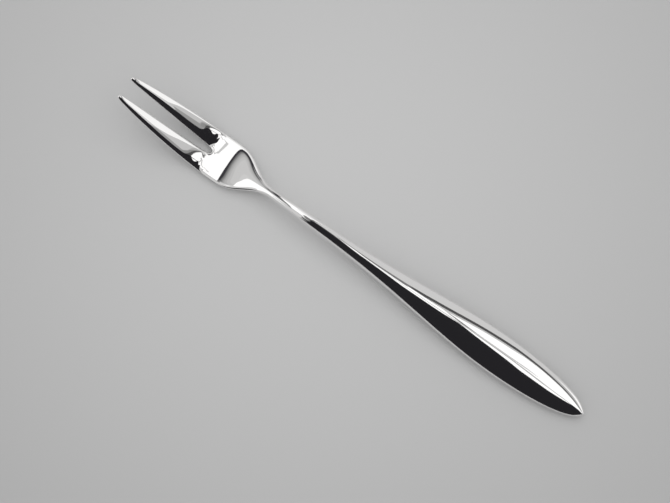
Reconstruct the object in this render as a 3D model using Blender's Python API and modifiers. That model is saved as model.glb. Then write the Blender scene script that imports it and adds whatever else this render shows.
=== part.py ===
"""Meat fork with two tines and a hollow handle.

The head is one forging: tines, bowl, shoulder, neck and, inside the handle, a tang.
The handle is two pressed half shells, soldered rim to rim and to the neck, and the tang
is set in cement between them. The fork lies face up along X with its tines towards -X.
It rests on two flats worn on its back, under the bowl and under the handle, at z = 0.
"""

import math

import bmesh
import bpy

MM = 0.001

# Lengths along the fork, in order from the tips of the tines
TINE_LENGTH = 29.0 * MM
BOWL_LENGTH = 6.7 * MM
SHOULDER_LENGTH = 17.0 * MM
NECK_LENGTH = 31.5 * MM
SWELL_LENGTH = 49.0 * MM
END_LENGTH = 31.4 * MM

# Widths across the fork
TIP_SPREAD = 8.0 * MM
GAP_AT_TIPS = 4.75 * MM
GAP_AT_CROTCH = 2.2 * MM
HEAD_WIDTH = 13.6 * MM
NECK_WIDTH = 2.8 * MM
HANDLE_WIDTH = 12.3 * MM

# Thicknesses of the metal, and of the handle over both shells
TIP_THICKNESS = 1.2 * MM
BOWL_THICKNESS = 2.2 * MM
NECK_THICKNESS = 3.2 * MM
HANDLE_THICKNESS = 4.6 * MM

# Heights: the tips above the bowl, the crest of the neck above the table, the bowl's edges above its middle
TIP_RISE = 14.0 * MM
NECK_HEIGHT = 5.8 * MM
DISH_DEPTH = 0.5 * MM

# Handle shells, tang and joints
SHELL_WALL = 0.7 * MM
END_WALL = 3.0 * MM
TANG_LENGTH = 32.0 * MM
TANG_COVER = 0.3 * MM
CEMENT_PAST_TANG = 4.0 * MM
SOLDER_THICKNESS = 0.2 * MM
JOINT_GAP = 0.03 * MM
CEMENT_GAP = 0.08 * MM
FLAT_DEPTH = 0.1 * MM

# Where the curves begin and end: the bend of the tines inside the bowl, the crown of the shoulder, the crest
# of the neck, the full thickness of the handle, its level stretch at the end and the round end of its hollow
BEND_IN_BOWL = 2.5 * MM
CROWN_LENGTH = 8.0 * MM
CREST_PAST_SHOULDER = 10.0 * MM
FULL_PAST_MOUTH = 16.0 * MM
LEVEL_LENGTH = 10.0 * MM
CAVITY_ROUND = 8.0 * MM

# Shape of the curves: how soon the tines flare, how late and how steeply the handle swells from the neck, how full
# its end is, the share of the tines' rise that is one even bend, and the bent shares of what is otherwise straight
TINE_FLARE = 2.35
SWELL_LATE = 1.5
SWELL_SLOPE = 0.5
END_FULLNESS = 2.2
TINE_CURVE = 0.2
TINE_BEND = 0.18
RAMP_BEND_IN = 0.15
RAMP_BEND_OUT = 0.5
HANDLE_BEND_IN = 0.2
HANDLE_BEND_OUT = 0.3

# Points of the mesh
RING_POINTS = 24
HEAD_LEVELS = 1
ON_PLANE = 1e-7
END_TURN = math.radians(84)

# Places along the fork, each counted from the tips of the tines
BEND_AT = TINE_LENGTH + BEND_IN_BOWL
SHOULDER_AT = TINE_LENGTH + BOWL_LENGTH
CROWN_AT = SHOULDER_AT + CROWN_LENGTH
NECK_AT = SHOULDER_AT + SHOULDER_LENGTH
CREST_AT = NECK_AT + CREST_PAST_SHOULDER
MOUTH_AT = NECK_AT + NECK_LENGTH
FULL_AT = MOUTH_AT + FULL_PAST_MOUTH
WIDEST_AT = MOUTH_AT + SWELL_LENGTH
LENGTH = WIDEST_AT + END_LENGTH
LEVEL_AT = LENGTH - LEVEL_LENGTH
STEP_AT = MOUTH_AT - SOLDER_THICKNESS - 2 * JOINT_GAP
TANG_END_AT = MOUTH_AT + TANG_LENGTH
CAVITY_END_AT = LENGTH - END_WALL

BOWL_CENTRE = BOWL_THICKNESS / 2 - FLAT_DEPTH
RIM_HEIGHT = SOLDER_THICKNESS / 2 + JOINT_GAP


def mix(a, b, share):
    return a + (b - a) * share


def share_of(x, start, end):
    return min(max((x - start) / (end - start), 0.0), 1.0)


def spread(start, end, count):
    return [mix(start, end, k / count) for k in range(count + 1)]


def ease(t):
    """From 0 to 1 with no slope and no bend at either end."""
    return t * t * t * (t * (6 * t - 15) + 10)


def swell(x):
    """From 0 at the neck to 1 at the widest place of the handle."""
    t = share_of(x, NECK_AT, WIDEST_AT)
    late = t**SWELL_LATE
    return late * late * (3 - 2 * late) + SWELL_SLOPE * t * (1 - t) ** 2


def round_end(x, start, end):
    """Quarter of a full ellipse, 1 up to the start, turned as far as a small blunt face at the end."""
    return math.sqrt(1 - (math.sin(END_TURN) * share_of(x, start, end)) ** END_FULLNESS)


def end_stations(start, end, count):
    """Places along such a quarter, closer together towards its blunt face."""
    return [mix(start, end, math.sin(END_TURN * k / count) / math.sin(END_TURN)) for k in range(count + 1)]


def ramp(t, bend_in, bend_out):
    """From 0 to 1 along a straight ramp, with shares of its length bent at its foot and at its top."""
    slope = 1 / (1 - bend_in / 2 - bend_out / 2)
    if t < bend_in:
        return slope * t * t / (2 * bend_in)
    rise = slope * (t - bend_in / 2)
    past = t - (1 - bend_out)
    return rise - slope * past * past / (2 * bend_out) if past > 0 else rise


def half_width(x):
    """From the middle of the fork to its outer edge."""
    if x < SHOULDER_AT:
        flare = (1 - x / SHOULDER_AT) ** TINE_FLARE
        return mix(HEAD_WIDTH, TIP_SPREAD, flare) / 2
    if x < NECK_AT:
        return mix(HEAD_WIDTH, NECK_WIDTH, ease(share_of(x, SHOULDER_AT, NECK_AT))) / 2
    return mix(NECK_WIDTH, HANDLE_WIDTH, swell(x)) / 2 * round_end(x, WIDEST_AT, LENGTH)


def half_gap(x):
    """From the middle of the fork to the inner edge of a tine."""
    return mix(GAP_AT_TIPS, GAP_AT_CROTCH, x / TINE_LENGTH) / 2


def half_thickness(x):
    if x < SHOULDER_AT:
        return mix(TIP_THICKNESS, BOWL_THICKNESS, math.sqrt(x / SHOULDER_AT)) / 2
    if x < NECK_AT:
        return mix(BOWL_THICKNESS, NECK_THICKNESS, ease(share_of(x, SHOULDER_AT, NECK_AT))) / 2
    thicker = ease(share_of(x, NECK_AT, FULL_AT))
    return mix(NECK_THICKNESS, HANDLE_THICKNESS, thicker) / 2 * round_end(x, WIDEST_AT, LENGTH)


def descent(x):
    """From 0 at the crest of the neck to 1 where the handle's middle line is level."""
    return ramp(share_of(x, CREST_AT, LEVEL_AT), HANDLE_BEND_IN, HANDLE_BEND_OUT)


def lowest_end(x):
    """Height of the handle's level end at which its back is sunk into the table at x, by as much as its flat."""
    return NECK_HEIGHT - (NECK_HEIGHT - half_thickness(x) + FLAT_DEPTH) / descent(x)


HANDLE_STATIONS = spread(MOUTH_AT, WIDEST_AT, 14)[:-1] + end_stations(WIDEST_AT, LENGTH, 12)
HANDLE_CENTRE = max(lowest_end(x) for x in HANDLE_STATIONS)


def centre_height(x):
    """Height of the middle of the metal above the table."""
    if x < SHOULDER_AT:
        to_tip = 1 - share_of(x, 0, BEND_AT)
        return BOWL_CENTRE + TIP_RISE * mix(ramp(to_tip, TINE_BEND, 0.0), to_tip**2, TINE_CURVE)
    if x < CREST_AT:
        along = share_of(x, SHOULDER_AT, CREST_AT)
        return mix(BOWL_CENTRE, NECK_HEIGHT, ramp(along, RAMP_BEND_IN, RAMP_BEND_OUT))
    return mix(NECK_HEIGHT, HANDLE_CENTRE, descent(x))


def plateness(x):
    """1 where the head is a flat plate, 0 at the tips and past the crown of the shoulder."""
    return share_of(x, 0, TINE_LENGTH) * (1 - ease(share_of(x, SHOULDER_AT, CROWN_AT)))


def place(x, y, z):
    """A point of the fork, with x counted from the tips and z from the middle of the metal."""
    return (x - LENGTH / 2, y, centre_height(x) + z)


def new_material(name, colour, metallic, roughness):
    material = bpy.data.materials.new(name)
    material.use_nodes = True
    shader = material.node_tree.nodes["Principled BSDF"]
    shader.inputs["Base Color"].default_value = (*colour, 1.0)
    shader.inputs["Metallic"].default_value = metallic
    shader.inputs["Roughness"].default_value = roughness
    return material


def new_object(name, bm, collection, material=None):
    bmesh.ops.recalc_face_normals(bm, faces=bm.faces)
    mesh = bpy.data.meshes.new(name)
    bm.to_mesh(mesh)
    bm.free()
    mesh.shade_smooth()
    mesh.set_sharp_from_angle(angle=math.radians(40))
    if material:
        mesh.materials.append(material)
    made = bpy.data.objects.new(name, mesh)
    collection.objects.link(made)
    return made


def loft(rings, closed_along=False, sharp_rings=()):
    """Bridges rings of as many points each. Faces on the plane of symmetry are left open for a Mirror."""
    bm = bmesh.new()
    crease = bm.edges.layers.float.new("crease_edge")
    rows = [[bm.verts.new(point) for point in ring] for ring in rings]
    pairs = list(zip(rows, rows[1:]))
    if closed_along:
        pairs.append((rows[-1], rows[0]))
    else:
        bm.faces.new(rows[0])
        bm.faces.new(rows[-1])
    for first, second in pairs:
        for k in range(len(first)):
            corners = (first[k - 1], first[k], second[k], second[k - 1])
            if any(abs(corner.co.y) > ON_PLANE for corner in corners):
                bm.faces.new(corners)
    for row in (rows[index] for index in sharp_rings):
        for k in range(len(row)):
            edge = bm.edges.get((row[k - 1], row[k]))
            if edge:
                edge[crease] = 1.0
    loose = [vert for vert in bm.verts if not vert.link_faces]
    bmesh.ops.delete(bm, geom=loose, context="VERTS")
    return bm


def mirror_across(made):
    mirror = made.modifiers.new("both_halves", "MIRROR")
    mirror.use_axis = (False, True, False)
    mirror.merge_threshold = 0.00001


def cut(made, cutter, name):
    boolean = made.modifiers.new(name, "BOOLEAN")
    boolean.operation = "DIFFERENCE"
    boolean.solver = "EXACT"
    boolean.object = cutter


# Fork head: half of a cage, mirrored and subdivided

TINE_SHARES = (0.0, 0.035, 0.11, 0.26, 0.45, 0.64, 0.81, 0.92, 0.985)
CROTCH_SHARES = (0.06, 0.2, 0.5)
TIP_ROUNDING = (0.55, 0.9)
EIGHT_GROWTH = 3 / (2 + math.cos(math.tau / 8))
TWELVE_GROWTH = 3 / (2 + math.cos(math.tau / 12))
PLATE_CORNER = 0.8
ROOT_CORNER = 1.2


def tine_ring(x, rounding):
    outer = half_width(x)
    inner = half_gap(x)
    fullness = plateness(x)
    ring = []
    for k in range(8):
        angle = math.radians(225 + 45 * k)
        growth = rounding * EIGHT_GROWTH * (mix(1.0, ROOT_CORNER, fullness**2) if k % 2 == 0 else 1.0)
        y = (outer + inner) / 2 + (outer - inner) / 2 * growth * math.cos(angle)
        dish = DISH_DEPTH * fullness * (y / outer) ** 2
        ring.append(place(x, y, half_thickness(x) * growth * math.sin(angle) + dish))
    return ring


def plate_ring(x, across, up, fullness):
    """Half of a section from the middle of its back to the middle of its face, and a point between them."""
    at_sixty = mix(math.sin(math.radians(60)), 1.0, fullness)
    at_thirty = mix(math.sin(math.radians(30)), PLATE_CORNER, fullness)
    levels = (-1.0, -at_sixty, -at_thirty, 0.0, at_thirty, at_sixty, 1.0)
    up_growth = 6 / (4 + 2 * at_sixty)
    ring = []
    for k, level in enumerate(levels):
        sideways = max(math.cos(math.radians(30 * k - 90)), 0.0)
        y = 0.0 if k in (0, 6) else across * TWELVE_GROWTH * sideways
        dish = DISH_DEPTH * fullness * (y / across) ** 2
        ring.append(place(x, y, up * up_growth * level + dish))
    ring.append(place(x, 0.0, 0.0))
    return ring


def cavity_half_width(x):
    return (half_width(x) - SHELL_WALL) * round_end(x, CAVITY_END_AT - CAVITY_ROUND, CAVITY_END_AT)


def cavity_half_thickness(x):
    return (half_thickness(x) - SHELL_WALL) * round_end(x, CAVITY_END_AT - CAVITY_ROUND, CAVITY_END_AT)


TANG_ACROSS = cavity_half_width(MOUTH_AT) - TANG_COVER
TANG_UP = cavity_half_thickness(MOUTH_AT) - TANG_COVER


def make_fork_head(collection, material, rest_cutter):
    rings = []
    for k, share in enumerate(TINE_SHARES):
        rounding = TIP_ROUNDING[k] if k < len(TIP_ROUNDING) else 1.0
        rings.append(tine_ring(share * TINE_LENGTH, rounding))
    stations = [TINE_LENGTH + share * BOWL_LENGTH for share in CROTCH_SHARES]
    stations += spread(SHOULDER_AT, NECK_AT, 7)
    stations += spread(NECK_AT, STEP_AT, 6)[1:]
    for x in stations:
        rings.append(plate_ring(x, half_width(x), half_thickness(x), plateness(x)))
    tang_root = len(rings)
    for x in spread(STEP_AT, TANG_END_AT, 8):
        rings.append(plate_ring(x, TANG_ACROSS, TANG_UP, 0.0))
    bm = loft(rings, sharp_rings=(tang_root - 1, tang_root, len(rings) - 1))
    head = new_object("fork_head", bm, collection, material)
    mirror_across(head)
    subdivision = head.modifiers.new("smooth_metal", "SUBSURF")
    subdivision.levels = HEAD_LEVELS
    subdivision.render_levels = HEAD_LEVELS
    cut(head, rest_cutter, "rest_under_bowl")
    return head


# Handle: two half shells, the solder between them and the cement round the tang

def oval_ring(x, across, up):
    ring = []
    for k in range(RING_POINTS):
        angle = math.tau * k / RING_POINTS
        ring.append(place(x, across * math.cos(angle), up * math.sin(angle)))
    return ring


def shell_ring(x, side):
    """Half an oval, closed by a straight line along the rim. side is 1 for the face, -1 for the back."""
    ring = []
    for k in range(RING_POINTS // 2 + 1):
        angle = math.tau * k / RING_POINTS
        across = half_width(x) * math.cos(angle)
        up = mix(RIM_HEIGHT, half_thickness(x), math.sin(angle))
        ring.append(place(x, across, side * up))
    return ring


def make_shell(name, side, collection, material, cavity_cutter):
    shell = new_object(name, loft([shell_ring(x, side) for x in HANDLE_STATIONS]), collection, material)
    cut(shell, cavity_cutter, "inside_of_the_pressing")
    return shell


def make_seam_solder(collection, material):
    rings = []
    for x in HANDLE_STATIONS:
        inner = cavity_half_width(x) if x < CAVITY_END_AT else 0.0
        outer = half_width(x)
        half = SOLDER_THICKNESS / 2
        rings.append([place(x, y, z) for y, z in ((inner, -half), (outer, -half), (outer, half), (inner, half))])
    seam = new_object("seam_solder", loft(rings), collection, material)
    mirror_across(seam)


def make_neck_solder(collection, material):
    back = STEP_AT + JOINT_GAP
    front = MOUTH_AT - JOINT_GAP
    hole = (TANG_ACROSS + CEMENT_GAP, TANG_UP + CEMENT_GAP)
    outside = (half_width(MOUTH_AT), half_thickness(MOUTH_AT))
    rings = [oval_ring(back, *hole), oval_ring(back, *outside), oval_ring(front, *outside), oval_ring(front, *hole)]
    new_object("neck_solder", loft(rings, closed_along=True), collection, material)


def make_tang_cement(collection, material):
    start = MOUTH_AT + CEMENT_GAP
    bottom = TANG_END_AT + CEMENT_GAP
    end = TANG_END_AT + CEMENT_PAST_TANG
    hole = [oval_ring(x, TANG_ACROSS + CEMENT_GAP, TANG_UP + CEMENT_GAP) for x in spread(bottom, start, 12)]
    outside = []
    for x in spread(start, end, 12):
        across = cavity_half_width(x) - CEMENT_GAP
        outside.append(oval_ring(x, across, cavity_half_thickness(x) - CEMENT_GAP))
    new_object("tang_cement", loft(hole + outside), collection, material)


def make_cavity_cutter(collection):
    """The hollow of the handle, run out past the mouth so that it cuts through the end faces."""
    stations = spread(MOUTH_AT, CAVITY_END_AT - CAVITY_ROUND, 16)[:-1]
    stations += end_stations(CAVITY_END_AT - CAVITY_ROUND, CAVITY_END_AT, 6)
    rings = [oval_ring(x, cavity_half_width(x), cavity_half_thickness(x)) for x in stations]
    past_mouth = [(point[0] - SHELL_WALL, point[1], point[2]) for point in rings[0]]
    return new_object("cavity_cutter", loft([past_mouth] + rings), collection)


def make_rest_cutter(collection):
    """Block whose top is the table, which takes the two flats off the fork's back."""
    bm = bmesh.new()
    bmesh.ops.create_cube(bm, size=LENGTH * 2)
    bmesh.ops.translate(bm, verts=bm.verts, vec=(0, 0, -LENGTH))
    return new_object("rest_cutter", bm, collection)


def new_collection(name):
    collection = bpy.data.collections.new(name)
    bpy.context.scene.collection.children.link(collection)
    return collection


for leftover in list(bpy.data.objects):
    bpy.data.objects.remove(leftover)

fork = new_collection("meat_fork")
cutters = new_collection("meat_fork_cutters")
polished = new_material("polished_silver", (0.93, 0.92, 0.90), 1.0, 0.05)
solder = new_material("silver_solder", (0.82, 0.80, 0.74), 1.0, 0.25)
cement = new_material("tang_cement", (0.30, 0.22, 0.16), 0.0, 0.85)

cavity = make_cavity_cutter(cutters)
rest = make_rest_cutter(cutters)
make_fork_head(fork, polished, rest)
make_shell("handle_upper_shell", 1, fork, polished, cavity)
lower = make_shell("handle_lower_shell", -1, fork, polished, cavity)
cut(lower, rest, "rest_under_handle")
make_seam_solder(fork, solder)
make_neck_solder(fork, solder)
make_tang_cement(fork, cement)

for cutter in cutters.objects:
    cutter.hide_render = True
    cutter.display_type = "WIRE"
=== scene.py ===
import math

import bmesh
import bpy
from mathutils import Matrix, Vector


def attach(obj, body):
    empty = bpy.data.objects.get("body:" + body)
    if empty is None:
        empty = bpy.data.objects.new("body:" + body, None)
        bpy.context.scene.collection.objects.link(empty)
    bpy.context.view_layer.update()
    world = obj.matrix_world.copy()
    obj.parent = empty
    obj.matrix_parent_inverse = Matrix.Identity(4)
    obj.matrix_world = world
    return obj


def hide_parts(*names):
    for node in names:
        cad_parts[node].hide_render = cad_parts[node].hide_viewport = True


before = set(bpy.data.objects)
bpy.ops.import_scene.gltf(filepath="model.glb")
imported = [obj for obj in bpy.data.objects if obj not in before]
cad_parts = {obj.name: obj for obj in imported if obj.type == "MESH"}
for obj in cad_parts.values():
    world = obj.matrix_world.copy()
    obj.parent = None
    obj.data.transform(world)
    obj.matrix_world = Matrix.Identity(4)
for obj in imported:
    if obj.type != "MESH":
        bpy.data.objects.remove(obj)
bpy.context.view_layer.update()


# Camera. It hangs above the table, almost straight over the fork, and is turned
# so that the tines point to the upper left of the picture.

MM = 0.001
CAMERA_TURN = math.radians(35.326)
CAMERA_RISE = math.radians(85.3)
CAMERA_TARGET = Vector((-5.20, -2.90, 0.0)) * MM
CAMERA_DISTANCE = 471.4 * MM
LENS_IN_MM = 85
SENSOR_IN_MM = 36


def show(name, data):
    thing = bpy.data.objects.new(name, data)
    bpy.context.scene.collection.objects.link(thing)
    return thing


camera_data = bpy.data.cameras.new("camera")
camera_data.lens = LENS_IN_MM
camera_data.sensor_width = SENSOR_IN_MM
camera = show("camera", camera_data)
camera.rotation_euler = (math.pi / 2 - CAMERA_RISE, 0, CAMERA_TURN)
camera.location = CAMERA_TARGET + camera.rotation_euler.to_matrix() @ Vector((0, 0, CAMERA_DISTANCE))
bpy.context.scene.camera = camera


# Outside of the fork. Head, neck and handle are ground and buffed together once the handle is
# soldered on, so their one smooth skin is drawn here, and the sections below cut each piece from it.
# x runs from the tips to the end of the handle, along a middle line that is bent last.

TINE_LENGTH = 29.0 * MM
RISE_AT = TINE_LENGTH + 2.5 * MM
SHOULDER_AT = TINE_LENGTH + 6.7 * MM
CROWN_AT = SHOULDER_AT + 12.0 * MM
NECK_AT = SHOULDER_AT + 17.0 * MM
CREST_AT = NECK_AT + 10.0 * MM
MOUTH_AT = NECK_AT + 31.5 * MM
THICKEST_AT = MOUTH_AT + 16.0 * MM
WIDEST_AT = MOUTH_AT + 49.0 * MM
LENGTH = WIDEST_AT + 31.4 * MM
LEVEL_AT = LENGTH - 10.0 * MM

TIP_SPREAD = 8.0 * MM
GAP_AT_TIPS = 4.75 * MM
GAP_AT_CROTCH = 2.2 * MM
SLOT_POINT = 1.3 * MM
HEAD_WIDTH = 13.6 * MM
HEAD_FLARE = 2.35
NECK_WIDTH = 2.8 * MM
HANDLE_WIDTH = 12.3 * MM
SWELL_DELAY = 1.5
SWELL_LIFT = 0.5

TIP_THICKNESS = 1.2 * MM
BOWL_THICKNESS = 2.2 * MM
NECK_THICKNESS = 3.2 * MM
HANDLE_THICKNESS = 4.6 * MM

BOWL_CENTRE = 1.0 * MM
TIP_RISE = 14.0 * MM
NECK_HEIGHT = 5.8 * MM
HANDLE_CENTRE = 1.97 * MM
DISH_DEPTH = 0.5 * MM
TINE_SWEEP = 0.2
TINE_FOOT_BEND = 0.18
SHOULDER_BEND = 0.15
CREST_BEND = 0.5
HANDLE_BEND = 0.2
LEVEL_BEND = 0.3

END_TURN = math.radians(88)
BLUNT_TURN = math.radians(64)
END_FULLNESS = 2.2
END_POINT = 0.8 * MM
END_SHARPNESS = 0.3


def mix(a, b, share):
    return a + (b - a) * share


def share_of(x, start, end):
    return min(max((x - start) / (end - start), 0.0), 1.0)


def spread(start, end, count):
    return [mix(start, end, k / count) for k in range(count + 1)]


def ease(t):
    """From 0 to 1 with no slope and no bend at either end."""
    return t * t * t * (t * (6 * t - 15) + 10)


def swell(x):
    """From 0 at the neck to 1 at the widest place of the handle, late but with a small early lift."""
    t = share_of(x, NECK_AT, WIDEST_AT)
    late = t**SWELL_DELAY
    return late * late * (3 - 2 * late) + SWELL_LIFT * t * (1 - t) ** 2


def round_end(x, start, end, turn):
    """Nearly an ellipse, from 1 at the start on through the turn. One of 90 degrees would close it."""
    return math.sqrt(1 - (math.sin(turn) * share_of(x, start, end)) ** END_FULLNESS)


def ramp(t, bend_in, bend_out):
    """From 0 to 1 along a straight ramp, with shares of its length bent at its foot and at its top."""
    slope = 1 / (1 - bend_in / 2 - bend_out / 2)
    if t < bend_in:
        return slope * t * t / (2 * bend_in)
    rise = slope * (t - bend_in / 2)
    past = t - (1 - bend_out)
    return rise - slope * past * past / (2 * bend_out) if past > 0 else rise


def half_width(x):
    if x < SHOULDER_AT:
        return mix(HEAD_WIDTH, TIP_SPREAD, (1 - x / SHOULDER_AT) ** HEAD_FLARE) / 2
    if x < NECK_AT:
        return mix(HEAD_WIDTH, NECK_WIDTH, ease(share_of(x, SHOULDER_AT, NECK_AT))) / 2
    rounded = round_end(x, WIDEST_AT, LENGTH, END_TURN)
    pointed = 1 - END_SHARPNESS * math.exp((x - LENGTH) / END_POINT)
    return mix(NECK_WIDTH, HANDLE_WIDTH, swell(x)) / 2 * rounded * pointed


def half_gap(x):
    return mix(GAP_AT_TIPS, GAP_AT_CROTCH, x / TINE_LENGTH) / 2


def half_thickness(x):
    if x < SHOULDER_AT:
        return mix(TIP_THICKNESS, BOWL_THICKNESS, math.sqrt(max(x, 0.0) / SHOULDER_AT)) / 2
    if x < NECK_AT:
        return mix(BOWL_THICKNESS, NECK_THICKNESS, ease(share_of(x, SHOULDER_AT, NECK_AT))) / 2
    thick = ease(share_of(x, NECK_AT, THICKEST_AT))
    rounded = round_end(x, WIDEST_AT, LENGTH, BLUNT_TURN)
    return mix(NECK_THICKNESS, HANDLE_THICKNESS, thick) / 2 * rounded


def centre_height(x):
    if x < SHOULDER_AT:
        t = 1 - share_of(x, 0, RISE_AT)
        return BOWL_CENTRE + TIP_RISE * mix(ramp(t, TINE_FOOT_BEND, 0.0), t * t, TINE_SWEEP)
    if x < CREST_AT:
        t = share_of(x, SHOULDER_AT, CREST_AT)
        return mix(BOWL_CENTRE, NECK_HEIGHT, ramp(t, SHOULDER_BEND, CREST_BEND))
    t = share_of(x, CREST_AT, LEVEL_AT)
    return mix(NECK_HEIGHT, HANDLE_CENTRE, ramp(t, HANDLE_BEND, LEVEL_BEND))


def plateness(x):
    """1 where the head is a flat plate, 0 at the tips and at the round neck."""
    return share_of(x, 0, TINE_LENGTH) * (1 - ease(share_of(x, SHOULDER_AT, CROWN_AT)))


# Half of the skin is a net of stations along the fork and spokes round it: round a tine,
# then from the foot of the bowl over its edge to its face, and back along the middle.
# A ring of 8 or 12 points grows a little so that its rounded form has the wanted size.
SPOKES = 8
EIGHT_GROWTH = 3 / (2 + math.cos(math.tau / 8))
TWELVE_GROWTH = 3 / (2 + math.cos(math.tau / 12))

# A tine's first stations are drawn in to round its tip, and its corners fill out towards the root.
TINE_SHARES = (0.0, 0.035, 0.11, 0.26, 0.45, 0.64, 0.81, 0.92, 0.985)
TINE_STATIONS = [share * TINE_LENGTH for share in TINE_SHARES]
TIP_ROUNDING = {0: 0.55, 1: 0.9}
ROOT_CORNER = 1.2

# The plate's first stations run out in the middle to the point that ends the slot.
CROTCH_STATIONS = [TINE_LENGTH + 0.4 * MM, TINE_LENGTH + 1.4 * MM, mix(TINE_LENGTH, SHOULDER_AT, 0.5)]
NECK_STATIONS = spread(SHOULDER_AT, NECK_AT, count=7)
HANDLE_STATIONS = spread(NECK_AT, WIDEST_AT, count=14)[1:-1]
END_SHARES = [math.sin(turn) / math.sin(END_TURN) for turn in spread(0, END_TURN, count=10)]
END_STATIONS = [mix(WIDEST_AT, LENGTH, share) for share in END_SHARES]
STATIONS = TINE_STATIONS + CROTCH_STATIONS + NECK_STATIONS + HANDLE_STATIONS + END_STATIONS
POINT_SHARES = {0: 1.0, 1: 0.6}

# Where the plate is flat, the points next to its edge reach nearly as far out as the edge does.
EDGE_REACH = 0.975
EDGE_LEVEL = 0.85
CROTCH_EDGE_LEVEL = 0.88
CROTCH_GROWTH = 1.05

SKIN_LEVELS = 3
ON_PLANE = 1e-7


def tine_point(station, spoke):
    x = STATIONS[station]
    outer = half_width(x)
    inner = half_gap(x)
    rounding = TIP_ROUNDING.get(station, 1.0) * EIGHT_GROWTH
    angle = math.radians(225 + 45 * spoke)
    at_corner = spoke % 2 == 0
    if at_corner:
        rounding *= mix(1.0, ROOT_CORNER, plateness(x) ** 2)
    y = (outer + inner) / 2 + (outer - inner) / 2 * rounding * math.cos(angle)
    dish = DISH_DEPTH * plateness(x) * (y / outer) ** 2
    return Vector((x, y, half_thickness(x) * rounding * math.sin(angle) + dish))


def plate_point(station, spoke):
    x = STATIONS[station]
    in_middle = spoke in (0, SPOKES - 2, SPOKES - 1)
    slot_end = SLOT_POINT * POINT_SHARES.get(station - len(TINE_STATIONS), 0.0) if in_middle else 0.0
    if spoke == SPOKES - 1:
        return Vector((x + slot_end, 0, 0))
    fullness = plateness(x)
    crotch = 1 - ease(share_of(x, TINE_LENGTH, SHOULDER_AT)) if spoke > 3 else 0.0
    across = TWELVE_GROWTH * math.cos(math.radians(30 * spoke - 90))
    next_to_edge = spoke in (2, 4)
    if next_to_edge:
        across = mix(across, EDGE_REACH, fullness)
    y = 0.0 if in_middle else half_width(x) * across
    at_sixty = mix(math.sin(math.radians(60)), 1.0, fullness)
    at_thirty = mix(math.sin(math.radians(30)), mix(EDGE_LEVEL, CROTCH_EDGE_LEVEL, crotch), fullness)
    level = (-1.0, -at_sixty, -at_thirty, 0.0, at_thirty, at_sixty, 1.0)[spoke]
    up_growth = 6 / (4 + 2 * at_sixty) * mix(1.0, CROTCH_GROWTH, crotch)
    dish = DISH_DEPTH * fullness * (y / half_width(x)) ** 2
    return Vector((x + slot_end, y, half_thickness(x) * up_growth * level + dish))


def bend(bm, sense):
    """Lays a straight mesh along the fork's bent middle line. A sense of -1 straightens it again."""
    for vert in bm.verts:
        x = vert.co.x + (LENGTH / 2 if sense < 0 else 0.0)
        vert.co.z += sense * centre_height(x)
        vert.co.x -= sense * LENGTH / 2


def whole(bm):
    return bm.verts[:] + bm.edges[:] + bm.faces[:]


def close_holes(bm):
    rims = [edge for edge in bm.edges if edge.is_boundary]
    return bmesh.ops.holes_fill(bm, edges=rims, sides=0)["faces"]


def mesh_from(bm, name):
    mesh = bpy.data.meshes.new(name)
    bm.to_mesh(mesh)
    bm.free()
    return mesh


bm = bmesh.new()
bmesh.ops.create_grid(bm, x_segments=len(STATIONS) - 1, y_segments=SPOKES, size=0.5)
for vert in bm.verts:
    station = round((vert.co.x + 0.5) * (len(STATIONS) - 1))
    spoke = round((vert.co.y + 0.5) * SPOKES) % SPOKES
    section = tine_point if station < len(TINE_STATIONS) else plate_point
    vert.co = section(station, spoke)
bmesh.ops.remove_doubles(bm, verts=bm.verts, dist=ON_PLANE)
inside = [face for face in bm.faces if all(abs(vert.co.y) < ON_PLANE for vert in face.verts)]
bmesh.ops.delete(bm, geom=inside, context="FACES")
bmesh.ops.mirror(bm, geom=whole(bm), axis="Y", merge_dist=ON_PLANE)
close_holes(bm)
bmesh.ops.recalc_face_normals(bm, faces=bm.faces)
bend(bm, 1)
net = show("skin_net", mesh_from(bm, "skin_net"))
rounding = net.modifiers.new("rounded", "SUBSURF")
rounding.levels = SKIN_LEVELS
rounding.render_levels = SKIN_LEVELS
skin = bpy.data.meshes.new_from_object(net.evaluated_get(bpy.context.evaluated_depsgraph_get()))
bpy.data.objects.remove(net)


# Fork head. One forging of silver carries the tines, the bowl, the shoulder and the neck,
# and ends in a round tang that goes into the handle. All that shows is buffed to a mirror.

SOLDER_THICKNESS = 0.26 * MM
STEP_AT = MOUTH_AT - SOLDER_THICKNESS
SHELL_WALL = 0.7 * MM
TANG_COVER = 0.3 * MM
TANG_END_AT = MOUTH_AT + 32.0 * MM
TANG_STEPS = 8
SHARP = math.radians(40)

BRIGHT_SILVER = (0.935, 0.928, 0.925, 1)
WARM_SILVER = (0.90, 0.888, 0.872, 1)
SILVER_DULLNESS = 0.01

HAZE_SIZE = 22 * MM
HAZE_WARMTH = 0.5
HAZE_DULLNESS = 0.02
LINE_WIDTH = 0.12 * MM
LINE_STRETCH = (1.0, 0.08, 0.3)
LINE_DULLNESS = 0.01
RIPPLE_SIZE = 5 * MM
RIPPLE_DEPTH = 0.002 * MM


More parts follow.
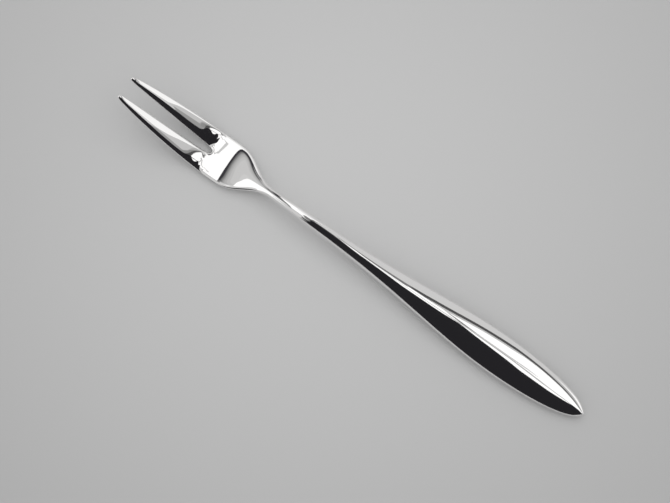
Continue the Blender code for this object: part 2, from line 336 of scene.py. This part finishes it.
class Wire:
    """An output of a material's nodes. Sums and products add Math nodes, and node() adds any other."""

    def __init__(self, tree, socket):
        self.tree = tree
        self.socket = socket

    def node(self, kind, settings, inputs, output=0):
        made = self.tree.nodes.new("ShaderNode" + kind)
        for name, value in settings.items():
            setattr(made, name, value)
        for name, value in inputs.items():
            if isinstance(value, Wire):
                self.tree.links.new(value.socket, made.inputs[name])
            else:
                made.inputs[name].default_value = value
        return Wire(self.tree, made.outputs[output])

    def calculate(self, operation, other):
        return self.node("Math", {"operation": operation}, {0: self, 1: other})

    def __add__(self, other):
        return self.calculate("ADD", other)

    def __mul__(self, other):
        return self.calculate("MULTIPLY", other)

    __radd__ = __add__
    __rmul__ = __mul__

    def stretched(self, scale):
        return self.node("Mapping", {}, {"Vector": self, "Scale": scale})

    def noise(self, size, detail):
        """Clouds of about the given size, with values round one half."""
        return self.node("TexNoise", {}, {"Vector": self, "Scale": 1 / size, "Detail": detail})

    def bump(self, depth):
        return self.node("Bump", {}, {"Height": self, "Distance": depth})

    def blend(self, low, high):
        """One colour where the wire carries 0, and another where it carries 1."""
        # A Mix node has inputs of the same names for numbers and colours, so the colours go by place.
        colours = {"Factor": self, 6: low, 7: high}
        return self.node("Mix", {"data_type": "RGBA"}, colours, output=2)


def new_finish(name):
    """A new material, with its shader and a wire that carries the places on the piece, in metres."""
    material = bpy.data.materials.new(name)
    material.use_nodes = True
    coordinates = material.node_tree.nodes.new("ShaderNodeTexCoord")
    shader = material.node_tree.nodes["Principled BSDF"]
    return material, shader, Wire(material.node_tree, coordinates.outputs["Object"])


def feed(shader, socket, wire):
    wire.tree.links.new(wire.socket, shader.inputs[socket])


def polished_metal(name, bright, warm, dullness):
    """Mirror polish with the buffing wheel's traces: a slow ripple, fine lines across and faint haze."""
    material, shader, place = new_finish(name)
    haze = place.noise(HAZE_SIZE, detail=3.0)
    lines = place.stretched(LINE_STRETCH).noise(LINE_WIDTH, detail=3.0)
    ripple = place.noise(RIPPLE_SIZE, detail=1.0)
    feed(shader, "Base Color", (haze * HAZE_WARMTH).blend(bright, warm))
    feed(shader, "Roughness", dullness + haze * HAZE_DULLNESS + lines * LINE_DULLNESS)
    feed(shader, "Normal", ripple.bump(RIPPLE_DEPTH))
    shader.inputs["Metallic"].default_value = 1.0
    return material


def straight_skin():
    """A fresh copy of the skin with its bends taken out, so that it can be sawn squarely."""
    bm = bmesh.new()
    bm.from_mesh(skin)
    bend(bm, -1)
    return bm


def saw(bm, place, beyond):
    """Cuts the mesh through at a place and drops what lies beyond the cut."""
    cut = {"plane_co": place, "plane_no": beyond, "clear_outer": True}
    bmesh.ops.bisect_plane(bm, geom=whole(bm), dist=ON_PLANE, **cut)


def finish_piece(name, bm, material, node):
    """Bends a piece to the fork's line, rests it on the table and puts it in the model."""
    bend(bm, 1)
    for vert in bm.verts:
        vert.co.z = max(vert.co.z, 0.0)
    mesh = mesh_from(bm, name)
    mesh.shade_smooth()
    mesh.set_sharp_from_angle(angle=SHARP)
    mesh.materials.append(material)
    piece = show(name, mesh)
    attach(piece, "root")
    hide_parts(node)


silver = polished_metal("polished_silver", BRIGHT_SILVER, WARM_SILVER, SILVER_DULLNESS)

bm = straight_skin()
saw(bm, (STEP_AT, 0, 0), (1, 0, 0))
tang = close_holes(bm)
bmesh.ops.inset_region(bm, faces=tang, thickness=SHELL_WALL + TANG_COVER, use_even_offset=True)
for step in range(TANG_STEPS):
    tang = bmesh.ops.extrude_discrete_faces(bm, faces=tang)["faces"]
    bmesh.ops.translate(bm, verts=tang[0].verts, vec=((TANG_END_AT - STEP_AT) / TANG_STEPS, 0, 0))
finish_piece("forged_head", bm, silver, "fork_head")


# Neck solder. A thin ring of hard silver solder joins the neck to the mouth of the handle.
# It is filed flush and buffed with the metal on both sides of it, so it hardly shows.

TANG_CLEARANCE = 0.08 * MM

BRIGHT_SOLDER = (0.925, 0.916, 0.905, 1)
WARM_SOLDER = (0.88, 0.862, 0.83, 1)
SOLDER_DULLNESS = 0.02

solder = polished_metal("silver_solder", BRIGHT_SOLDER, WARM_SOLDER, SOLDER_DULLNESS)


def give_wall(bm, inner_place):
    """Adds an inner face to an open skin, and joins the two along their edges."""
    inner = bmesh.ops.extrude_face_region(bm, geom=whole(bm), use_keep_orig=True)["geom"]
    for vert in [part for part in inner if isinstance(part, bmesh.types.BMVert)]:
        vert.co = inner_place(*vert.co)
    bmesh.ops.recalc_face_normals(bm, faces=bm.faces)


def round_the_tang(x, y, z):
    off = SHELL_WALL + TANG_COVER - TANG_CLEARANCE
    return (x, y * (1 - off / half_width(x)), z * (1 - off / half_thickness(x)))


bm = straight_skin()
saw(bm, (STEP_AT, 0, 0), (-1, 0, 0))
saw(bm, (MOUTH_AT, 0, 0), (1, 0, 0))
give_wall(bm, round_the_tang)
finish_piece("neck_ring", bm, solder, "neck_solder")


# Handle shells. Two halves are pressed from silver sheet, one for the face and one for the back,
# and meet rim to rim. The pressing leaves them hollow, with a solid tip.

RIM_HEIGHT = 0.13 * MM
HOLLOW_END_AT = LENGTH - 3.0 * MM
HOLLOW_ROUND_AT = HOLLOW_END_AT - 8.0 * MM


def inside_of_handle(x, y, z):
    """Where a place on the outside of the handle comes to lie on the wall of the hollow."""
    deep = mix(MOUTH_AT, HOLLOW_END_AT, share_of(x, MOUTH_AT, LENGTH))
    closing = round_end(deep, HOLLOW_ROUND_AT, HOLLOW_END_AT, END_TURN)
    across = (half_width(deep) - SHELL_WALL) * closing / half_width(x)
    up = (half_thickness(deep) - SHELL_WALL) * closing / half_thickness(x)
    rim = min(max(z, -RIM_HEIGHT), RIM_HEIGHT)
    return (deep, y * across, mix(rim, z, up))


for name, side in (("upper_shell", 1), ("lower_shell", -1)):
    bm = straight_skin()
    saw(bm, (MOUTH_AT, 0, 0), (-1, 0, 0))
    saw(bm, (0, 0, side * RIM_HEIGHT), (0, 0, -side))
    give_wall(bm, inside_of_handle)
    finish_piece("pressed_" + name, bm, silver, "handle_" + name)


# Seam solder. Hard solder fills the line where the rims of the two shells meet,
# from the neck round the tip of the handle and back, and is buffed flush.

bm = straight_skin()
saw(bm, (MOUTH_AT, 0, 0), (-1, 0, 0))
saw(bm, (0, 0, RIM_HEIGHT), (0, 0, 1))
saw(bm, (0, 0, -RIM_HEIGHT), (0, 0, -1))
give_wall(bm, inside_of_handle)
finish_piece("rim_seam", bm, solder, "seam_solder")


# Tang cement. A plug of resin filled with stone powder is poured round the tang as a melt
# and holds it in the hollow handle. Its shape is the solid's own, so it only gets its finish.

RESIN_BROWN = (0.30, 0.22, 0.16, 1)
RESIN_DARK = (0.16, 0.11, 0.08, 1)
RESIN_ROUGHNESS = 0.65
GRAIN_SIZE = 0.5 * MM
GRAIN_SHADE = 0.6
GRAIN_ROUGHNESS = 0.3
FLOW_SIZE = 4 * MM
FLOW_SHADE = 0.5
CEMENT_RELIEF = 0.06 * MM

cement, cement_shader, place = new_finish("tang_cement")
grains = place.noise(GRAIN_SIZE, detail=4.0)
flow = place.noise(FLOW_SIZE, detail=2.0)
shade = grains * GRAIN_SHADE + flow * FLOW_SHADE
feed(cement_shader, "Base Color", shade.blend(RESIN_DARK, RESIN_BROWN))
feed(cement_shader, "Roughness", RESIN_ROUGHNESS + grains * GRAIN_ROUGHNESS)
feed(cement_shader, "Normal", (grains + flow).bump(CEMENT_RELIEF))
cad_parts["tang_cement"].data.materials.clear()
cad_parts["tang_cement"].data.materials.append(cement)


# Studio. White, grey and black cards hang over the table, and only the polished metal sees them.
# Most hang about a metre up, a black drape hangs lower, and three small cards hang close over the neck.
# They are set out in metres from over the fork's middle, along the fork and across it.


def glowing(name, strength, tint=(1, 1, 1, 1)):
    material = bpy.data.materials.new(name)
    material.use_nodes = True
    nodes = material.node_tree.nodes
    nodes.clear()
    emission = nodes.new("ShaderNodeEmission")
    emission.inputs["Color"].default_value = tint
    emission.inputs["Strength"].default_value = strength
    output = nodes.new("ShaderNodeOutputMaterial")
    material.node_tree.links.new(emission.outputs["Emission"], output.inputs["Surface"])
    return material


def card(name, outline, height, cloth):
    """Hangs a flat card that shows in reflections alone. It hides the cards that hang higher."""
    bm = bmesh.new()
    bm.faces.new([bm.verts.new((x, y, height)) for x, y in outline])
    mesh = mesh_from(bm, name)
    mesh.materials.append(cloth)
    hung = show(name, mesh)
    hung.visible_camera = False
    hung.visible_diffuse = False
    hung.visible_shadow = False


CLOTH_TINT = (1.0, 0.97, 1.1, 1)
white = glowing("white_cloth", strength=1.12)
black = glowing("black_cloth", strength=0.018, tint=CLOTH_TINT)
frame_black = glowing("frame_black", strength=0.045, tint=CLOTH_TINT)
dim = glowing("dim_grey", strength=0.2)
middle_grey = glowing("middle_grey", strength=0.45)

# The strip over the middle of the fork, with its frame behind it.
strip = [
    (-0.27, -0.1), (0.6, -0.1), (0.59, 0.1), (0.4, 0.115), (0.26, 0.11), (0.2, 0.18), (0.17, 0.32),
    (-0.27, 0.38),
]
strip_frame = [
    (-0.33, -0.1), (0.66, -0.1), (0.655, 0.1), (0.64, 0.14), (0.4, 0.135), (0.275, 0.13), (0.215, 0.2),
    (0.18, 0.35), (-0.3, 0.42),
]
card("strip", strip, height=1.0, cloth=white)
card("strip_frame", strip_frame, height=1.0115, cloth=middle_grey)

# The box beyond the tines, with a black frame that fades outwards into the ceiling.
left_box = [
    (-0.262, -0.38), (-0.12, -0.38), (-0.12, 0.6), (-0.4, 0.6), (-0.36, 0.5), (-0.315, 0.35),
    (-0.29, 0.15), (-0.28, 0.0),
]
left_top = [(-0.12, 0.6), (-0.12, 1.6), (-0.62, 1.6), (-0.52, 1.0), (-0.44, 0.68), (-0.4, 0.6)]
left_frame = [
    (-0.105, -0.12), (-0.31, -0.12), (-0.33, 0.0), (-0.345, 0.1), (-0.39, 0.19), (-0.5, 0.26),
    (-0.58, 0.3), (-0.64, 0.37), (-0.69, 0.48), (-0.73, 0.6), (-0.765, 0.73), (-0.79, 0.85),
    (-0.74, 0.85), (-0.7, 0.72), (-0.65, 0.58), (-0.6, 0.48), (-0.55, 0.44), (-0.52, 0.5),
    (-0.55, 0.75), (-0.62, 1.0), (-0.7, 1.3), (-0.75, 1.6), (-0.12, 1.6),
]
left_foot = [(-0.31, -0.5), (-0.105, -0.5), (-0.105, -0.1), (-0.33, -0.1)]
card("left_top", left_top, height=1.005, cloth=glowing("pale_cloth", strength=0.9))
card("left_box", left_box, height=1.005, cloth=white)
card("left_frame", left_frame, height=1.007, cloth=frame_black)
card("left_foot", left_foot, height=1.0075, cloth=dim)

# Each further copy of the frame hangs higher and further out, and is brighter.
FADE_HEIGHT = 1.012
FADE_STEP = 0.001
FADE_SLANT = 0.4
shifts_and_strengths = (
    (0.02, 0.13), (0.05, 0.2), (0.08, 0.3), (0.12, 0.39), (0.18, 0.47), (0.25, 0.54), (0.4, 0.6),
)
for step, (shift, strength) in enumerate(shifts_and_strengths):
    shifted = [(x - shift, y - FADE_SLANT * shift) for x, y in left_frame]
    cloth = glowing(f"fading_grey_{step}", strength)
    card(f"left_fade_{step}", shifted, FADE_HEIGHT + FADE_STEP * step, cloth)

# Two grey rods that hang in front of the cloths.
rod = glowing("rod_grey", strength=0.6)
left_rod = [
    (-0.168, -0.02), (-0.149, -0.02), (-0.15, 0.02), (-0.135, 0.04), (-0.1, 0.075), (-0.095, 0.1),
    (-0.115, 0.085), (-0.15, 0.05), (-0.166, 0.045),
]
middle_rod = [
    (-0.09, 0.03), (0.06, 0.09), (0.16, 0.14), (0.26, 0.24), (0.24, 0.26), (0.15, 0.17), (-0.09, 0.06),
]
card("left_rod", left_rod, height=0.99, cloth=rod)
card("middle_rod", middle_rod, height=0.99, cloth=rod)

# The main box on the far side of the handle, with a grey rim and a dark frame behind it.
main_box = [
    (0.175, 0.34), (0.225, 0.2), (0.28, 0.15), (0.4, 0.15), (0.565, 0.13), (0.56, 0.28), (0.51, 0.43),
    (0.44, 0.58), (0.37, 0.71), (0.31, 0.78), (0.27, 0.75), (0.22, 0.55),
]
main_rim = [
    (0.15, 0.36), (0.225, 0.2), (0.28, 0.15), (0.4, 0.15), (0.58, 0.12), (0.575, 0.3), (0.54, 0.45),
    (0.48, 0.61), (0.4, 0.76), (0.31, 0.86), (0.265, 0.83), (0.2, 0.57),
]
main_frame = [
    (0.105, 0.34), (0.225, 0.2), (0.28, 0.15), (0.4, 0.15), (0.585, 0.0), (0.64, 0.0), (0.635, 0.2),
    (0.62, 0.35), (0.58, 0.51), (0.52, 0.69), (0.45, 0.9), (0.37, 1.15), (0.3, 1.2), (0.25, 1.0),
    (0.19, 0.78), (0.13, 0.55),
]
far_shade = [
    (0.13, 0.25), (0.13, 0.52), (0.06, 0.5), (0.0, 0.55), (-0.03, 0.66), (-0.05, 0.66), (-0.03, 0.5),
    (0.02, 0.36), (0.04, 0.26), (0.08, 0.235),
]
main_fade = [
    (0.63, 0.0), (0.675, 0.0), (0.67, 0.2), (0.655, 0.37), (0.615, 0.55), (0.55, 0.75), (0.46, 1.0),
    (0.4, 0.9),
]
card("main_box", main_box, height=1.0, cloth=white)
card("main_rim", main_rim, height=1.003, cloth=glowing("rim_grey", strength=0.55))
card("main_frame", main_frame, height=1.006, cloth=glowing("main_frame_grey", strength=0.085))
card("far_shade", far_shade, height=0.998, cloth=dim)
card("main_fade", main_fade, height=1.008, cloth=glowing("frame_fade_grey", strength=0.28))

# White and grey cards to both sides, and the ceiling over all of them.
right_card = [
    (1.0, -0.1), (0.785, 0.16), (0.76, 0.4), (0.745, 0.7), (0.72, 1.0), (0.68, 1.3), (0.6, 1.9),
    (1.7, 3.7), (3.7, 0.0),
]
right_dusk = [(0.6, -0.4), (0.78, -0.4), (0.78, 0.1), (0.6, 0.1)]
right_grey = [(0.33, 0.0), (0.68, 0.0), (0.68, 1.3), (0.33, 1.3)]
right_pale = [(0.6, 0.0), (0.8, 0.0), (0.8, 1.3), (0.6, 1.3)]
left_card = [
    (-1.6, 0.08), (-0.93, 0.08), (-0.88, 0.03), (-0.8, -0.01), (-0.7, -0.02), (-0.63, -0.06),
    (-0.56, -0.13), (-0.5, -0.2), (-0.44, -0.3), (-0.38, -0.42), (-0.37, -0.5), (-0.43, -0.6),
    (-0.53, -0.73), (-0.6, -0.88), (-0.63, -1.1), (-0.65, -2.5), (-1.6, -2.5),
]
ceiling = [(-9, -9), (9, -9), (9, 9), (-9, 9)]
card("right_card", right_card, height=1.02, cloth=glowing("right_white", strength=1.0))
card("right_dusk", right_dusk, height=1.025, cloth=glowing("dusk_grey", strength=0.33))
card("right_grey", right_grey, height=1.03, cloth=middle_grey)
card("right_pale", right_pale, height=1.035, cloth=glowing("pale_grey", strength=0.57))
card("left_card", left_card, height=1.0, cloth=glowing("card_white", strength=1.1))
card("ceiling", ceiling, height=1.05, cloth=glowing("ceiling_grey", strength=0.64))

# The black drape on the near side, and the small cards close over the neck.
drape = [
    (-1.57, -11.85), (-0.01, -0.05), (0.018, 0.025), (0.064, -0.005), (0.095, 0.045), (0.106, 0.076),
    (0.123, 0.037), (0.136, 0.008), (0.162, 0.002), (0.187, 0.02), (0.198, 0.035), (0.21, 0.055),
    (0.222, 0.068), (0.24, 0.055), (0.25, 0.03), (0.258, -0.02), (0.268, -0.055), (0.285, -0.077),
    (0.305, -0.067), (0.34, -0.05), (0.5, -0.1), (8.5, -11.7),
]
flag = [
    (-0.03, -0.08), (-0.0265, -0.04), (-0.0225, -0.03), (-0.0203, -0.02), (-0.0202, 0.004),
    (-0.0185, 0.01), (-0.0165, 0.012), (-0.011, 0.0122), (-0.0075, 0.0098), (-0.004, 0.0055),
    (0.0, 0.001), (0.004, -0.0015), (0.009, -0.0045), (0.012, -0.0045), (0.012, -0.08),
]
flag_edge = [
    (-0.0225, -0.02), (-0.0245, 0.0), (-0.0235, 0.012), (-0.019, 0.018), (-0.0145, 0.021),
    (-0.01, 0.0195), (-0.005, 0.012), (0.0, 0.004), (0.004, 0.001), (0.004, -0.02),
]
neck_light = [
    (-0.0392, 0.0215), (-0.0378, 0.0188), (-0.037, 0.0165), (-0.0355, 0.0145), (-0.0342, 0.0105),
    (-0.0335, 0.0085), (-0.0322, 0.006), (-0.031, 0.004), (-0.03, 0.0015), (-0.0275, -0.003),
    (-0.026, -0.003), (-0.026, 0.022),
]
card("black_drape", drape, height=0.45, cloth=black)
card("black_flag", flag, height=0.05, cloth=black)
card("flag_edge", flag_edge, height=0.0502, cloth=dim)
card("neck_light", neck_light, height=0.028, cloth=white)


# Table and light. The fork lies on a sheet of pale grey paper with a painted falloff of light, which
# darkens its colour outwards, under one large soft lamp in an evenly lit room.

PICTURE_RIGHT = Vector((math.cos(CAMERA_TURN), math.sin(CAMERA_TURN), 0))
PICTURE_UP = Vector((-math.sin(CAMERA_TURN), math.cos(CAMERA_TURN), 0))

PAPER_REACH = 2.0
PAPER_DROP = 0.05 * MM
# Painted light: the paper's colour is palest at this point and is painted darker out to the reach below,
# as a painted falloff of the lamp's light.
PAINTED_LIGHT_CENTRE = CAMERA_TARGET - PICTURE_RIGHT * 0.01 + PICTURE_UP * 0.018
PAINTED_FALLOFF_REACH = 0.2
PAPER_PAINTED_LIT = (0.562, 0.562, 0.562, 1)
PAPER_PAINTED_DIM = (0.42, 0.42, 0.42, 1)
PAPER_ROUGHNESS = 0.9

LAMP_LENGTH = 0.7
LAMP_WIDTH = 0.6
LAMP_POWER = 1.3
LAMP_PLACE = CAMERA_TARGET + PICTURE_RIGHT * 0.1 + PICTURE_UP * 0.15 + Vector((0, 0, 0.5))
ROOM_LIGHT = 0.62

bm = bmesh.new()
bmesh.ops.create_grid(bm, x_segments=1, y_segments=1, size=PAPER_REACH)
bmesh.ops.translate(bm, verts=bm.verts, vec=(0, 0, -PAPER_DROP))
paper, paper_shader, place = new_finish("grey_paper")
outwards = place.node("VectorMath", {"operation": "DISTANCE"}, {0: place, 1: PAINTED_LIGHT_CENTRE}, "Value")
smoothly = {"interpolation_type": "SMOOTHSTEP"}
# Painted falloff of light: the paper's colour blends from the lit grey to the dim grey with distance
# from the palest point.
painted_falloff = place.node("MapRange", smoothly, {"Value": outwards, "From Max": PAINTED_FALLOFF_REACH})
feed(paper_shader, "Base Color", painted_falloff.blend(PAPER_PAINTED_LIT, PAPER_PAINTED_DIM))
paper_shader.inputs["Roughness"].default_value = PAPER_ROUGHNESS
table = show("table", mesh_from(bm, "table"))
table.data.materials.append(paper)

lamp = bpy.data.lights.new("soft_lamp", "AREA")
lamp.shape = "RECTANGLE"
lamp.size = LAMP_LENGTH
lamp.size_y = LAMP_WIDTH
lamp.energy = LAMP_POWER
soft_lamp = show("soft_lamp", lamp)
soft_lamp.location = LAMP_PLACE
soft_lamp.rotation_euler = (CAMERA_TARGET - LAMP_PLACE).to_track_quat("-Z", "Y").to_euler()
soft_lamp.visible_glossy = False
soft_lamp.visible_camera = False

room = bpy.context.scene.world or bpy.data.worlds.new("room")
bpy.context.scene.world = room
room.use_nodes = True
room.node_tree.nodes["Background"].inputs["Color"].default_value = (1, 1, 1, 1)
room.node_tree.nodes["Background"].inputs["Strength"].default_value = ROOM_LIGHT
bpy.context.scene.view_settings.view_transform = "Standard"
